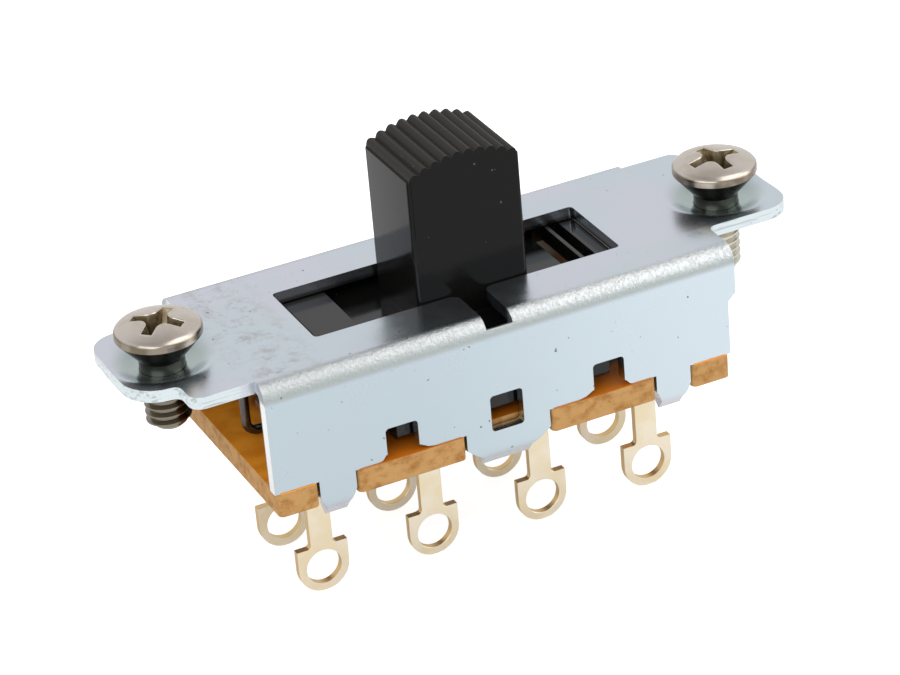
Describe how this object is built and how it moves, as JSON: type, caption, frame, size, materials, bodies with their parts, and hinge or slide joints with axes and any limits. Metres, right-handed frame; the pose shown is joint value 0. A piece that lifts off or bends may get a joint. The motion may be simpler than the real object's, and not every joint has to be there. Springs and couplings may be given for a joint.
{
  "type": "slide switch",
  "caption": "Panel slide switch with a tall ridged knob in a slotted folded frame, dimpled ears with screws, and two rows of eyed solder lugs under a laminate board.",
  "frame": {"origin": "centre of the slot, on the upper surface of the top plate that lies against the panel", "axes": "+X along the slide, towards the ear whose wide edge is at the back; +Z out of the panel, up through the knob; -Y is the near side wall"},
  "size_m": [0.0448, 0.015, 0.027],
  "materials": {
    "plated_steel": "bright zinc plate, pale blue-grey",
    "laminate": "phenolic laminate, orange-brown",
    "lug_metal": "tinned brass, cream-gold",
    "spring_steel": "dark drawn wire",
    "nickel": "warm nickel plate",
    "black_moulding": "black moulded plastic, smooth",
    "contact_metal": "rolled copper alloy strip",
    "leaf_steel": "bright spring strip"
  },
  "bodies": {
    "base": {"frame": "plated_steel", "terminal_board": "laminate", "terminal_front_1": "lug_metal", "terminal_front_2": "lug_metal", "terminal_front_3": "lug_metal", "terminal_front_4": "lug_metal", "terminal_rear_1": "lug_metal", "terminal_rear_2": "lug_metal", "terminal_rear_3": "lug_metal", "terminal_rear_4": "lug_metal", "detent_spring": "spring_steel", "screw_left": "nickel", "screw_right": "nickel"},
    "slider": {"slider": "black_moulding", "contact_front": "contact_metal", "contact_rear": "contact_metal", "contact_spring_front": "leaf_steel", "contact_spring_rear": "leaf_steel"}
  },
  "joints": [
    {"name": "slide", "type": "slide", "parent": "base", "child": "slider", "axis": [1, 0, 0], "range_m": [-0.00543, 0.00473]}
  ]
}
